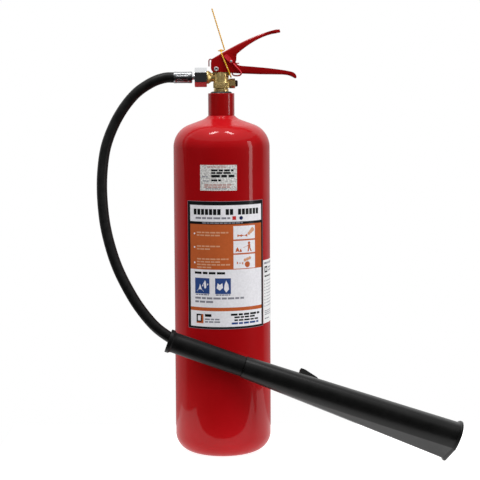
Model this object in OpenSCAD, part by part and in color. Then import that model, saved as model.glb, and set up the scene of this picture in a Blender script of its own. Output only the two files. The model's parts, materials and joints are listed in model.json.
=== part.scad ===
// Carbon dioxide fire extinguisher: steel cylinder, squeeze-grip brass valve,
// rubber hose, hand grip and discharge horn.
// Origin at the centre of the base, +Z up along the cylinder's axis,
// +X towards the tips of the handles, -Y towards the label. Millimetres.

/* [Cylinder] */
// Outside diameter of the steel cylinder
cyl_d = 152; // [150:0.5:154]
// Height where the straight side meets the shoulder
side_top = 483.5; // [470:0.5:500]
// Thickness of the side wall
cyl_wall = 4.5; // [3:0.5:5]
// Radius of the rounded heel
heel_r = 28; // [26:1:30]
// Height of the dished bottom at its centre
dish_h = 12; // [8:1:14]

/* [Neck] */
// Outside diameter of the neck ring
neck_ring_d = 41.5; // [40:0.5:43]
// Height of the neck ring
neck_ring_h = 35; // [30:1:40]
// Outside diameter of the neck inside the ring
neck_d = 36; // [34:0.5:37]
// Diameter of the thread in the neck
neck_bore_d = 25.8; // [24:0.2:26]

/* [Valve] */
// Diameter of the round valve body
body_d = 24; // [23:0.5:25]
// Size across the flats of the valve's square block
block_flats = 24.8; // [24:0.2:26]
// Height of the outlet's axis above the neck ring
outlet_z = 25; // [24:0.5:26]
// Height of the burst disc's axis above the neck ring
burst_z = 15.2; // [15:0.2:16]
// Diameter of the stem
stem_d = 4; // [3.6:0.2:4]

/* [Handles] */
// Thickness of the pressed steel sheet
sheet = 2; // [1.6:0.1:2]
// Outside width of the carry handle
carry_w = 24.4; // [24:0.2:26]
// Outside width of the squeeze lever
lever_w = 19.6; // [19:0.2:19.6]
// Diameter of the pivot rivet
rivet_d = 5; // [4.6:0.2:5]
// Diameter of the safety pin
pin_d = 4; // [3.6:0.2:4]

/* [Hose] */
// Outside diameter of the rubber hose
hose_d = 16.5; // [16:0.1:16.5]
// Size across the flats of the swivel nut
nut_flats = 27; // [26:0.5:28]
// Outside diameter of the crimped ferrules
ferrule_d = 18.3; // [18:0.1:19]

/* [Horn] */
// Length of the hand grip
grip_len = 122; // [115:1:125]
// Outside diameter of the hand grip
grip_d = 31.5; // [31:0.5:32]
// Length of the horn from the grip to the mouth
horn_len = 342; // [330:1:345]
// Angle of the horn below the horizontal
horn_slope = 19.7; // [19.5:0.1:20]
// Outside radius of the horn at its small end
horn_small_r = 16.8; // [16.5:0.1:17]
// Half the widest size of the horn's body at the mouth
horn_major = 44; // [43:0.5:45]
// Half the narrowest size of the horn's body at the mouth
horn_minor = 25.8; // [25:0.1:26.5]
// Distance from the section's middle to the flat facet at the mouth
facet_dist = 22.2; // [21.8:0.1:23]
// Thickness of the horn's wall
horn_wall = 2.4; // [2:0.1:3]

/* [Hidden] */
$fn = 96;

cyl_r = cyl_d / 2;
// the shoulder: a rounded edge, a cone of 20 degrees and a hollow fillet
shoulder_r = 38;
shoulder_end = 70;
cone_slope = 90 - shoulder_end;
fillet_r = 26;
fillet_start = 31;
ring_foot = side_top + 50;
valve_z = ring_foot + neck_ring_h;
dish_edge_r = 42;
dish_sphere_r = (dish_edge_r * dish_edge_r + dish_h * dish_h) / (2 * dish_h);
base_wall = 8;

// joint places, measured from the top of the neck ring
pivot = [-7.3, 38];
pin_at = [16, 49.6];
squeeze_angle = 20;
// room for a part that turns or slides in another
run_gap = 0.05;

// valve chamber, seat and stem guide, from the top of the neck ring
chamber_r = 7;
chamber_top = 18;
seat_r = 3.5;
body_top = 33.2;
tower_top = 44;
tower_w = 14.8;
gland_r = 3.8;
stem_top = 51.7;

// the horn and grip share one axis, which starts at the grip's hose end
horn_start = [-82, -101, 193.6];
facet_turn = 53.3;
// the mouth's middle lies this far below the axis
mouth_drop = 2.4;
facet_from = 0.22;
ring_points = 48;
facet_points = 12;
lip_depth = 4;
lip_out = 3;
socket_wall = 4;
nozzle_r = 6;

// the hose's centreline, from the valve's ferrule to the grip
hose_route = [
    [-50, 0, 593.5], [-62, 0, 593.5], [-74, 0, 593.5], [-87, 0, 593.3],
    [-102.5, -1, 589], [-117.3, -2, 581.3], [-132.2, -4, 570.6], [-146, -6, 555.8],
    [-157.8, -10, 539], [-167.6, -13, 521.2], [-176.3, -18, 500.3], [-182, -24, 479.4],
    [-185.2, -31, 453.4], [-186, -39, 427.6], [-184.3, -48, 398.7], [-179.7, -58, 365.8],
    [-171, -68.5, 332.8], [-160.3, -77.5, 303.6], [-145.7, -85.5, 274.7], [-127.1, -92.5, 244.8],
    [-104.6, -97.5, 217.6], [-85, -99.7, 201.8], [-65.5, -100.8, 190.6], [-50, -101, 182.9],
    [-34, -101, 176.45], [-9.5, -101, 167.64]
];

// the plastic strap: from the pin's head, under the carry handle, to the pin's far end
strap_d = 2;
strap_route = [
    [18.5, -14.4, 47], [24, -14.4, 41], [29, -14.4, 35.5], [31.5, -14.4, 32.4],
    [31.4, -13.2, 29.9], [29.5, -9, 28], [25.5, -1, 27.2], [21, 7, 27.6],
    [18.2, 12.6, 29.2], [17.5, 14.2, 32], [17, 14.4, 38], [16.6, 14.4, 43], [16.3, 14.4, 47]
];
// the seal tie: a loop round lever and carry handle, closed by a lock with a free tail
tie_d = 2;
tie_loop = [
    [0.2, -7, 66.3], [0.6, -11, 64.6], [1.2, -13.3, 61], [3.8, -13.8, 54.6],
    [7.9, -13.8, 44.6], [12, -13.8, 34.6], [14.8, -13.4, 27.6], [15.4, -10, 26],
    [15.5, 0, 25.4], [15.4, 10, 26], [14, 13.9, 28.6], [11, 14.2, 36],
    [7, 14.2, 46], [3.4, 14, 55], [1.2, 13.4, 61], [0.4, 10, 65], [0, 2, 67],
    [0, -4, 67]
];
tie_tail = [[0, -7, 66.5], [3.4, -7, 66.6], [5.4, -7, 68.6], [4.6, -7, 72], [-4, -7, 100], [-13.6, -7, 132]];

// labels: start angle and sweep from the front towards +X, and foot and height
label_t = 0.25;
main_label_at = [-43.4, 100.2, 205.9, 198];
serial_label_at = [-25, 43.4, 420.2, 39.4];
side_label_at = [57.4, 45, 208.6, 99.5];

red_paint = "#b5121b";
brass = "#a98c3f";
black_plastic = "#1a1a1a";
steel = "#9a9c9e";
chrome = "#c8cacc";
red_plastic = "#d63243";

// ---------- helpers ----------

function bezier(p, n) = [
    for (i = [0:n]) let (t = i / n)
        pow(1 - t, 3) * p[0] + 3 * t * pow(1 - t, 2) * p[1] + 3 * t * t * (1 - t) * p[2] + pow(t, 3) * p[3]
];
function reversed(v) = [for (i = [len(v) - 1:-1:0]) v[i]];
function unit(v) = v / norm(v);

// direction of a route at point i
function heading(route, i) = unit(route[min(i + 1, len(route) - 1)] - route[max(i - 1, 0)]);
// sideways direction of each ring, carried along from the one before so that the tube doesn't twist
function side_dirs(route, i = 0, last = [0, 1, 0]) =
    i >= len(route) ? [] :
    let (t = heading(route, i), s = unit(last - (last * t) * t))
    concat([s], side_dirs(route, i + 1, s));

// a ring of n points of radius r round point p, square to t
function tube_ring(p, t, s, r, n) =
    let (u = cross(t, s)) [for (k = [0:n - 1]) p + r * (cos(360 * k / n) * s + sin(360 * k / n) * u)];

// faces that join rings of n points into a closed skin with flat ends
function skin_faces(count, n) = concat(
    [[for (k = [0:n - 1]) k]],
    [for (i = [0:count - 2], k = [0:n - 1])
        let (a = i * n + k, b = i * n + (k + 1) % n) each [[a, a + n, b], [b, a + n, b + n]]],
    [[for (k = [n - 1:-1:0]) (count - 1) * n + k]]
);

// a tube swept along a route
module swept(route, d, sides) {
    sides_at = side_dirs(route);
    rings = [for (i = [0:len(route) - 1]) tube_ring(route[i], heading(route, i), sides_at[i], d / 2, sides)];
    polyhedron(points = [for (r = rings) each r], faces = skin_faces(len(rings), sides), convexity = 6);
}

// carries its children to the top of the neck ring
module on_valve() {
    translate([0, 0, valve_z]) children();
}

// lays its children's +Z along the outlet's axis, away from the valve
module on_outlet() {
    translate([0, 0, valve_z + outlet_z]) rotate([0, -90, 0]) children();
}

// lays its children's +Z along the burst disc's axis, away from the valve
module on_burst() {
    translate([0, 0, valve_z + burst_z]) rotate([0, 90, 0]) children();
}

// lays its children's +Z along the horn's axis, towards the mouth
module on_horn() {
    translate(horn_start) rotate([0, 90 + horn_slope, 0]) children();
}

// stands a side view drawn in X and Z on the valve, and gives it a width along Y
module side_plate(w) {
    on_valve() rotate([90, 0, 0]) linear_extrude(w, center = true) children();
}

module hexagon(flats, h) {
    cylinder(d = flats / cos(30), h = h, $fn = 6);
}

module hollow(d, bore, h) {
    difference() {
        cylinder(d = d, h = h);
        translate([0, 0, -1]) cylinder(d = bore, h = h + 2);
    }
}

// ---------- cylinder and neck ----------

// half section of a bottle: heel, side, shoulder, cone and neck, each moved in by inset
module bottle_half(inset, foot) {
    cone_from = [cyl_r - shoulder_r + (shoulder_r - inset) * cos(shoulder_end),
                 side_top + (shoulder_r - inset) * sin(shoulder_end)];
    translate([cyl_r - heel_r, heel_r]) circle(heel_r - inset);
    translate([0, foot]) square([cyl_r - heel_r, heel_r - foot]);
    translate([0, heel_r]) square([cyl_r - inset, side_top - heel_r]);
    translate([cyl_r - shoulder_r, side_top]) circle(shoulder_r - inset);
    polygon([
        [0, side_top - 1], [cone_from.x, side_top - 1], cone_from,
        cone_from + [-cone_from.x, cone_from.x * tan(cone_slope)]
    ]);
}

// the hollow curve between the shoulder's cone and the foot of the neck ring
module neck_fillet() {
    cone_z = side_top + shoulder_r * sin(shoulder_end)
        + (cyl_r - shoulder_r + shoulder_r * cos(shoulder_end) - fillet_start) * tan(cone_slope);
    centre = [fillet_start, cone_z] + fillet_r * [sin(cone_slope), cos(cone_slope)];
    difference() {
        translate([0, cone_z - 4]) square([fillet_start, ring_foot - cone_z + 4]);
        translate(centre) circle(fillet_r);
    }
}

module pressure_cylinder() {
    color(red_paint) rotate_extrude() intersection() {
        square([cyl_r + 1, valve_z]);
        difference() {
            union() {
                bottle_half(0, 0);
                neck_fillet();
                square([neck_d / 2, valve_z]);
            }
            difference() {
                bottle_half(cyl_wall, cyl_wall);
                translate([0, dish_h - dish_sphere_r]) circle(dish_sphere_r + base_wall);
            }
            translate([0, dish_h - dish_sphere_r]) circle(dish_sphere_r);
            translate([0, side_top]) square([neck_bore_d / 2, valve_z]);
        }
    }
}

module neck_ring() {
    top_round = 1.5;
    color(red_paint) translate([0, 0, ring_foot]) rotate_extrude() difference() {
        union() {
            square([neck_ring_d / 2, neck_ring_h - top_round]);
            square([neck_ring_d / 2 - top_round, neck_ring_h]);
            translate([neck_ring_d / 2 - top_round, neck_ring_h - top_round]) circle(top_round);
        }
        translate([-1, -1]) square([neck_d / 2 + 1, neck_ring_h + 2]);
    }
}

module neck_seal() {
    seal_h = 2.6;
    color("#141414") on_valve() difference() {
        cylinder(r1 = 17.2, r2 = 14.6, h = seal_h);
        translate([0, 0, -1]) cylinder(d = neck_bore_d, h = seal_h + 2);
    }
}

// ---------- valve ----------

module valve_outside() {
    stub_h = 28;
    relief_d = 21.8;
    bead_d = 23.8;
    bead_z = 2.6;
    block_z = 7.9;
    block_h = 8.6;
    block_round = 3.4;
    shoulder_z = 15.4;
    // threaded stub in the neck, then the turned foot with its bead, and the square block over it
    on_valve() {
        translate([0, 0, -stub_h]) cylinder(d = neck_bore_d, h = stub_h);
        cylinder(d = neck_bore_d - 0.2, h = 1.6);
        cylinder(d = relief_d, h = block_z + 1);
        translate([0, 0, bead_z]) cylinder(d = bead_d, h = 4);
        translate([0, 0, block_z]) linear_extrude(block_h)
            offset(r = block_round) square(block_flats - 2 * block_round, center = true);
        translate([0, 0, shoulder_z]) cylinder(d1 = block_flats - 0.2, d2 = body_d - 0.2, h = 4);
        translate([0, 0, shoulder_z]) cylinder(d = body_d, h = body_top - shoulder_z);
    }
    // tower between the handles' cheeks, round over the pivot
    side_plate(tower_w) {
        translate([pivot.x + 0.2, body_top - 4]) square([15.3, tower_top - body_top + 4]);
        translate(pivot) circle(6);
        translate([pivot.x - 6, body_top - 4]) square([8, pivot.y - body_top + 4]);
    }
    // shoulder that carries the start of the carry handle
    side_plate(10) polygon([[6, 20], [10.5, 25.6], [15.2, 30.6], [15.2, 31.6], [6, 31.6]]);
    // outlet boss: neck, conical flange and threaded end
    on_outlet() {
        cylinder(d = 14, h = 20);
        translate([0, 0, 14.5]) cylinder(r1 = 6.5, r2 = 10.4, h = 5.5);
        translate([0, 0, 20]) cylinder(r = 10.4, h = 2.2);
        translate([0, 0, 22]) cylinder(d = 19.8, h = 12);
    }
    on_burst() cylinder(d = 13, h = 12.8);
}

module valve_passages() {
    on_valve() {
        translate([0, 0, -30]) cylinder(r = chamber_r, h = 30 + chamber_top);
        cylinder(r = seat_r, h = 22);
        translate([0, 0, 20]) cylinder(r = 4.2, h = 9.5);
        cylinder(d = stem_d + 2 * run_gap, h = tower_top + 1);
        translate([0, 0, 38.5]) cylinder(r = gland_r, h = 10);
    }
    on_outlet() cylinder(r = 4, h = 40);
    on_burst() {
        cylinder(r = 2, h = 20);
        translate([0, 0, 9]) cylinder(r = 4.5, h = 20);
    }
    side_plate(40) translate(pivot) circle(d = rivet_d);
}

module valve_body() {
    color(brass) difference() {
        valve_outside();
        valve_passages();
    }
}

// dip tube from the valve to just above the bottom
module siphon_tube() {
    foot = 26;
    color(chrome) translate([0, 0, foot]) hollow(10, 7.6, valve_z - 14 - foot);
}

module spring_plug() {
    color(brass) on_valve() translate([0, 0, -28]) difference() {
        cylinder(r = chamber_r, h = 22);
        translate([0, 0, -1]) cylinder(d = 10, h = 15);
        translate([0, 0, 10]) cylinder(r = 3, h = 14);
    }
}

module valve_spring() {
    wire = 1.3;
    coil_r = 4.6;
    turns = 5;
    low = -5.3;
    high = 11.2;
    per_turn = 14;
    steps = turns * per_turn;
    coil = [for (i = [0:steps])
        [coil_r * cos(360 * i / per_turn), coil_r * sin(360 * i / per_turn), low + (high - low) * i / steps]];
    color(steel) on_valve() swept(coil, wire, 6);
}

// valve disc with a guide for the spring
module poppet() {
    color(brass) on_valve() difference() {
        union() {
            translate([0, 0, 12]) cylinder(r = 5.8, h = 4);
            translate([0, 0, 2]) cylinder(r = 3.2, h = 10.5);
            translate([0, 0, 15.5]) cylinder(d = stem_d - 0.4, h = 2.4);
        }
        translate([0, 0, -1]) cylinder(d = 2.4, h = 10);
    }
}

module poppet_seat() {
    color("#2b2b2b") on_valve() translate([0, 0, 16]) hollow(11, stem_d - 0.4, 1.9);
}

module stem() {
    color(chrome) on_valve() {
        translate([0, 0, chamber_top]) cylinder(d = stem_d, h = stem_top - chamber_top - stem_d / 2);
        translate([0, 0, stem_top - stem_d / 2]) sphere(d = stem_d);
        // collar that stops the stem under its guide
        translate([0, 0, 25]) cylinder(d = stem_d + 2, h = 2.5);
    }
}

module stem_oring() {
    oring_wire = 1.74;
    color("#161616") on_valve() translate([0, 0, 39.45]) rotate_extrude()
        translate([stem_d / 2 + 0.04 + oring_wire / 2, 0]) circle(d = oring_wire);
}

module stem_gland() {
    color(brass) on_valve() difference() {
        union() {
            translate([0, 0, 40.6]) cylinder(r = gland_r, h = 4);
            translate([0, 0, tower_top]) hexagon(9.5, 2.2);
        }
        translate([0, 0, 38]) cylinder(d = stem_d + 2 * run_gap, h = 12);
    }
}

module burst_disc() {
    color("#b87333") on_burst() translate([0, 0, 9]) cylinder(r = 4.4, h = 0.4);
}

module burst_nut() {
    color(brass) on_burst() difference() {
        union() {
            translate([0, 0, 9.4]) cylinder(r = 4.5, h = 4);
            translate([0, 0, 12.8]) hexagon(13.6, 9.2);
            translate([0, 0, 21]) cylinder(r = 4, h = 2.4);
        }
        cylinder(r = 1.5, h = 30);
    }
}

module burst_cap() {
    color(black_plastic) on_burst() translate([0, 0, 22]) difference() {
        union() {
            cylinder(r = 5.1, h = 2.9);
            translate([0, 0, 2.9]) cylinder(r1 = 5.1, r2 = 3.9, h = 1.3);
        }
        translate([0, 0, -1]) cylinder(r = 4, h = 2.4);
    }
}

// ---------- handles ----------

arm_top = bezier([[31.9, 42.7], [60, 40.5], [92, 37.6], [111.3, 32.9]], 10);
arm_nose = bezier([[111.3, 32.9], [115.6, 31.5], [120, 26.8], [117.6, 22.6]], 6);
arm_low = bezier([[115.6, 22.8], [108.5, 27.4], [104, 28.5], [93, 28.7]], 6);
arm_floor = [[62, 29.2], [32, 30.5], [14.4, 31.6]];

module carry_handle_side() {
    ear_left = bezier([[-9.8, body_top], [-13.6, body_top], [-15.8, 35.4], [-15.8, 40]], 5);
    ear_top = bezier([[8, 62.4], [14, 65.6], [22.6, 60], [22.8, 50]], 8);
    ear_foot = bezier([[22.8, 50], [23.4, 45.6], [26.4, 43.4], [31.9, 42.7]], 5);
    polygon(concat(
        ear_left, [[-15.8, 48.6], [-14.6, 50.2]], ear_top, ear_foot, arm_top, arm_nose,
        arm_low, arm_floor, [[12.4, body_top]]
    ));
}

// the hollow of the U: above the web along the arm, and right through between the ears
module carry_handle_hollow() {
    web_start = 14.4;
    polygon(concat(
        [[-30, 20], [web_start, 20], [web_start, 31.6 + sheet]],
        [for (p = reversed(arm_floor)) if (p.x > web_start) p + [0, sheet]],
        [for (p = reversed(arm_low)) if (p.x < 113) p + [0, sheet]],
        [[113.5, 70], [-30, 70]]
    ));
}

module carry_handle() {
    color(red_paint) difference() {
        side_plate(carry_w) carry_handle_side();
        side_plate(carry_w - 2 * sheet) carry_handle_hollow();
        side_plate(carry_w + 2) {
            translate(pivot) circle(d = rivet_d);
            translate(pin_at) circle(d = pin_d + 0.3);
        }
    }
}

lever_top = bezier([[-15.5, 53], [18.5, 73.4], [52.4, 91.4], [86.4, 98.9]], 16);
lever_nose = bezier([[86.4, 98.9], [90, 99.4], [93.6, 97.4], [93.3, 94.6]], 4);
lever_low = bezier([[80, 92.3], [61, 88.2], [41, 75], [26.4, 62.5]], 8);
pivot_boss_r = 4.3;

module lever_side() {
    lever_ear = [
        [24.9, 60.6], [24.4, 58], [24.1, 51], [23, 49.4], [19.5, 47.6],
        [6.7, 41.5], [-4.6, 35.2], [pivot.x - pivot_boss_r, pivot.y], [-15, 46]
    ];
    polygon(concat(lever_top, lever_nose, lever_low, lever_ear));
    translate(pivot) circle(pivot_boss_r);
}

// the hollow of the inverted U, under the web
module lever_hollow() {
    web = sheet * 1.15;
    polygon(concat([for (p = lever_top) p - [0, web]], [[100, 60], [100, 0], [-40, 0], [-40, 50.5]]));
}

// web rolled over and down behind the cheeks
module lever_lip_side() {
    roll_r = 3.6;
    centre = [-16.2, 50.6];
    inner = roll_r - 1.7;
    polygon(concat(
        [for (a = [60:20:180]) centre + roll_r * [cos(a), sin(a)]],
        [[centre.x - roll_r, 42], [centre.x - inner, 42]],
        [for (a = [180:-20:60]) centre + inner * [cos(a), sin(a)]]
    ));
}

// arc in the cheeks that lets the lever swing past the safety pin
module pin_slot() {
    reach = norm(pin_at - pivot);
    start = atan2(pin_at.y - pivot.y, pin_at.x - pivot.x);
    half = pin_d / 2 + 0.3;
    translate(pivot) {
        intersection() {
            difference() {
                circle(reach + half);
                circle(reach - half);
            }
            polygon([[0, 0], 50 * [cos(start), sin(start)], 50 * [cos(start + squeeze_angle), sin(start + squeeze_angle)]]);
        }
        for (a = [start, start + squeeze_angle]) translate(reach * [cos(a), sin(a)]) circle(half);
    }
}

module squeeze_lever() {
    tip_pad_r = 11;
    tip_pad_at = [82.3, 94.8];
    color(red_paint) {
        difference() {
            side_plate(lever_w) lever_side();
            side_plate(lever_w - 2 * sheet) lever_hollow();
            side_plate(lever_w + 2) {
                translate(pivot) circle(d = rivet_d + 2 * run_gap);
                pin_slot();
            }
        }
        side_plate(12) lever_lip_side();
        // saddle under the web that presses the stem
        side_plate(8) polygon([[-3.5, 52], [3.5, 52], [3.5, 62.4], [-3.5, 58.6]]);
        // wide thumb rest at the tip
        on_valve() translate([tip_pad_at.x, 0, tip_pad_at.y]) rotate([0, -13, 0]) cylinder(r = tip_pad_r, h = 2.4);
    }
}

module pivot_rivet() {
    head_d = 7.4;
    head_h = 1.9;
    reach = carry_w / 2;
    color(chrome) {
        side_plate(carry_w + 0.2) translate(pivot) circle(d = rivet_d);
        for (side = [-1, 1]) on_valve() translate([pivot.x, side * reach, pivot.y]) rotate([side * -90, 0, 0])
            rotate_extrude() intersection() {
                square([head_d / 2, head_h]);
                translate([0, head_h - 4.6]) circle(4.6);
            }
    }
}

// ---------- safety pin, tab and strap, and seal tie ----------

module safety_pin() {
    color(chrome) on_valve() translate([pin_at.x, 0, pin_at.y]) rotate([90, 0, 0]) {
        translate([0, 0, -16.4]) cylinder(d = pin_d, h = 31.9);
        translate([0, 0, -18]) cylinder(d1 = pin_d - 2, d2 = pin_d, h = 1.6);
    }
}

// moulded head: a collar on the pin and a flat tab to pull
module pin_tab() {
    color(red_plastic) on_valve() translate([pin_at.x, -carry_w / 2 - 0.2, pin_at.y]) rotate([90, 0, 0]) difference() {
        union() {
            cylinder(d = 6.2, h = 2.6);
            rotate([0, 0, 135]) linear_extrude(2.2) hull() {
                translate([3.6, 0]) square([3, 6.2], center = true);
                for (side = [-1, 1]) translate([12.2, side * 1.9]) circle(1.3, $fn = 32);
            }
        }
        translate([0, 0, -1]) cylinder(d = pin_d, h = 5);
    }
}

module pin_strap() {
    color(red_plastic) on_valve() {
        swept(strap_route, strap_d, 8);
        // snap ring round the far end of the pin, with a stub
        difference() {
            translate([pin_at.x, 15.4, pin_at.y]) rotate([90, 0, 0]) cylinder(d = 7.4, h = 2);
            translate([pin_at.x, 20, pin_at.y]) rotate([90, 0, 0]) cylinder(d = pin_d + 0.3, h = 10);
        }
        translate([17, 13.5, 46]) cube([11.6, 1.8, 1.8]);
    }
}

module seal_tie() {
    color("#e0b020") on_valve() {
        swept(tie_loop, tie_d, 8);
        swept(tie_tail, 1.6, 8);
        // lock where the loop closes, with its small nub
        translate([-1.8, -9, 64.9]) cube([4.2, 5.4, 3.6]);
        translate([-4.6, -8, 65.6]) cube([3.4, 1.6, 1.6]);
    }
}

// ---------- hose and its fittings ----------

module outlet_washer() {
    color("#e8e4da") on_outlet() translate([0, 0, 34]) hollow(18.8, 8, 2);
}

module swivel_nut() {
    color(chrome) on_outlet() difference() {
        translate([0, 0, 22.4]) hexagon(nut_flats, 19.1);
        translate([0, 0, 21]) cylinder(d = 20, h = 17.6);
        cylinder(d = 8.6, h = 50);
    }
}

module hose_tail() {
    color(chrome) on_outlet() difference() {
        union() {
            translate([0, 0, 36.1]) cylinder(d = 18.4, h = 2.4);
            translate([0, 0, 36.1]) cylinder(d = 8, h = 34);
        }
        cylinder(d = 5, h = 80);
    }
}

// crimped sleeve: h long, closed on the fitting's side, with ring grooves along its crimp
module ferrule(h, grooves) {
    wall_h = 3.6;
    difference() {
        union() {
            cylinder(d = ferrule_d, h = h - 1.5);
            translate([0, 0, h - 1.5]) cylinder(d1 = ferrule_d, d2 = ferrule_d - 1.2, h = 1.5);
        }
        translate([0, 0, wall_h]) cylinder(d = hose_d + 0.2, h = h);
        translate([0, 0, -1]) cylinder(d = 8, h = h);
        for (i = [0:grooves - 1]) translate([0, 0, 8 + 6 * i]) difference() {
            cylinder(d = ferrule_d + 2, h = 2.4);
            translate([0, 0, -1]) cylinder(d = ferrule_d - 0.6, h = 5);
        }
    }
}

module ferrule_valve_end() {
    color(steel) on_outlet() translate([0, 0, 45.4]) ferrule(28.9, 3);
}

module hose() {
    color("#202020") swept(hose_route, hose_d, 12);
}

hose_end_s = 77;

module ferrule_horn_end() {
    color(steel) on_horn() translate([0, 0, hose_end_s + 4]) mirror([0, 0, 1]) ferrule(30, 3);
}

// hose nipple, hexagon and threaded nozzle in one bar
module gas_nozzle() {
    color(brass) on_horn() difference() {
        union() {
            translate([0, 0, hose_end_s - 20]) cylinder(d = 8, h = 26);
            translate([0, 0, hose_end_s + 4]) hexagon(17, 10);
            translate([0, 0, hose_end_s + 13]) cylinder(r = nozzle_r, h = grip_len + 14 - hose_end_s - 13);
        }
        translate([0, 0, hose_end_s - 21]) cylinder(d = 4, h = grip_len - hose_end_s + 30);
    }
}

// ---------- grip and horn ----------

module horn_grip() {
    flange_r = 18;
    flange_h = 6;
    bore_r = 12.5;
    end_wall = 8;
    color(black_plastic) on_horn() difference() {
        rotate_extrude() {
            square([flange_r - 1.5, flange_h]);
            translate([0, 1.5]) square([flange_r, flange_h - 3]);
            for (z = [1.5, flange_h - 1.5]) translate([flange_r - 1.5, z]) circle(1.5);
            polygon([
                [0, 1], [grip_d / 2 - 0.2, 1], [grip_d / 2 + 0.3, grip_len * 0.42],
                [grip_d / 2 - 0.2, grip_len - 1], [grip_d / 2 - 1, grip_len], [0, grip_len]
            ]);
        }
        translate([0, 0, -1]) cylinder(r = bore_r, h = grip_len - end_wall + 1);
        // flared mouth, because the hose comes in above the axis
        translate([0, 0, -1]) cylinder(r1 = bore_r + 3.2, r2 = bore_r, h = 20);
        cylinder(r = nozzle_r, h = grip_len + 1);
    }
}

// half widths of the horn's section, and the facet's distance and half width, at share u of its length
function horn_a(u) = horn_small_r + (horn_major - horn_small_r) * u;
function horn_b(u) = horn_small_r + (horn_minor - horn_small_r) * u;
facet_half_mouth = horn_major * sqrt(1 - pow(facet_dist / horn_minor, 2));
function facet_half(u) = max(0.6, facet_half_mouth * (u - facet_from) / (1 - facet_from));
function on_ellipse(a, b, t) = [a * sin(t), b * cos(t)];

// a section of the horn with axes a and b and a facet w wide each way; the facet faces +Y here
function horn_section(a, b, w) =
    let (edge = asin(w / a), y = b * cos(edge), rest = ring_points - facet_points)
    concat(
        [for (k = [0:facet_points - 1]) [w - 2 * w * k / facet_points, y]],
        [for (k = [0:rest - 1]) on_ellipse(a, b, 360 - edge - (360 - 2 * edge) * k / rest)]
    );

// turns the section so that its facet faces down and to the front, and sets it at s along the axis,
// drop below it
function horn_ring(section, s, drop = 0) = [
    for (p = section)
        let (turn = facet_turn - 180)
        [p.x * cos(turn) - p.y * sin(turn) + drop, p.x * sin(turn) + p.y * cos(turn), s]
];

function horn_outer(u, out = 0) =
    horn_ring(
        horn_section(horn_a(u) + out, horn_b(u) + out, facet_half(u) + out * 0.5),
        grip_len + horn_len * u, mouth_drop * u
    );

module discharge_horn() {
    mouth = grip_len + horn_len;
    steps = 14;
    lip_u = 1 - lip_depth / horn_len;
    bore = horn_ring(horn_section(nozzle_r + 0.2, nozzle_r + 0.2, 0.6), 0);
    rings = concat(
        [for (i = [0:steps]) horn_outer(lip_u * i / steps)],
        [
            horn_outer(lip_u + 0.001, lip_out - 0.8), horn_outer(lip_u + 0.004, lip_out),
            horn_outer(1 - 0.002, lip_out), horn_outer(1, lip_out - 0.8)
        ],
        [for (i = [steps:-1:0]) let (u = (i == 0) ? socket_wall / horn_len : i / steps) horn_outer(u, -horn_wall)],
        [for (s = [grip_len + socket_wall, grip_len]) [for (p = bore) [p.x, p.y, s]]]
    );
    n = ring_points;
    count = len(rings);
    faces = [
        for (i = [0:count - 1], k = [0:n - 1])
            let (j = (i + 1) % count, a = i * n + k, b = i * n + (k + 1) % n, c = j * n + k, d = j * n + (k + 1) % n)
            each [[a, c, b], [b, c, d]]
    ];
    color(black_plastic) on_horn() {
        polyhedron(points = [for (r = rings) each r], faces = faces, convexity = 8);
        // lug on the far side that hangs the horn on a bracket
        translate([0, 0, grip_len]) rotate([0, 0, 30]) rotate([90, 0, 0]) linear_extrude(9, center = true)
            polygon([[-18, 84], [-27, 84], [-27, 91], [-21.5, 112], [-18, 112]]);
    }
}

// nut that clamps the horn and the grip on the nozzle
module horn_nut() {
    color(brass) on_horn() translate([0, 0, grip_len + socket_wall]) difference() {
        hexagon(17, 6);
        translate([0, 0, -1]) cylinder(r = nozzle_r, h = 10);
    }
}

// ---------- labels ----------

// a thin skin on the cylinder: at = [start angle from the front, sweep, foot, height]
module label(at) {
    translate([0, 0, at[2]]) rotate([0, 0, at[0] - 90]) rotate_extrude(angle = at[1])
        translate([cyl_r, 0]) square([label_t, at[3]]);
}

module main_label() {
    color("#e9e9ee") label(main_label_at);
}

module serial_label() {
    color("#b9bdc2") label(serial_label_at);
}

module side_label() {
    color("#f0f0f0") label(side_label_at);
}

pressure_cylinder();
neck_ring();
neck_seal();
valve_body();
siphon_tube();
spring_plug();
valve_spring();
poppet();
poppet_seat();
stem();
stem_oring();
stem_gland();
burst_disc();
burst_nut();
burst_cap();
carry_handle();
squeeze_lever();
pivot_rivet();
safety_pin();
pin_tab();
pin_strap();
seal_tie();
outlet_washer();
swivel_nut();
hose_tail();
ferrule_valve_end();
hose();
ferrule_horn_end();
gas_nozzle();
horn_grip();
horn_nut();
discharge_horn();
main_label();
serial_label();
side_label();
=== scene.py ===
"""Looks of a carbon dioxide fire extinguisher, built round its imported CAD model.

Metres, +Z up, the camera looks along +Y. Each visible piece stands for one CAD node."""

import json
import math

import bmesh
import bpy
from mathutils import Matrix, Vector

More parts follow.
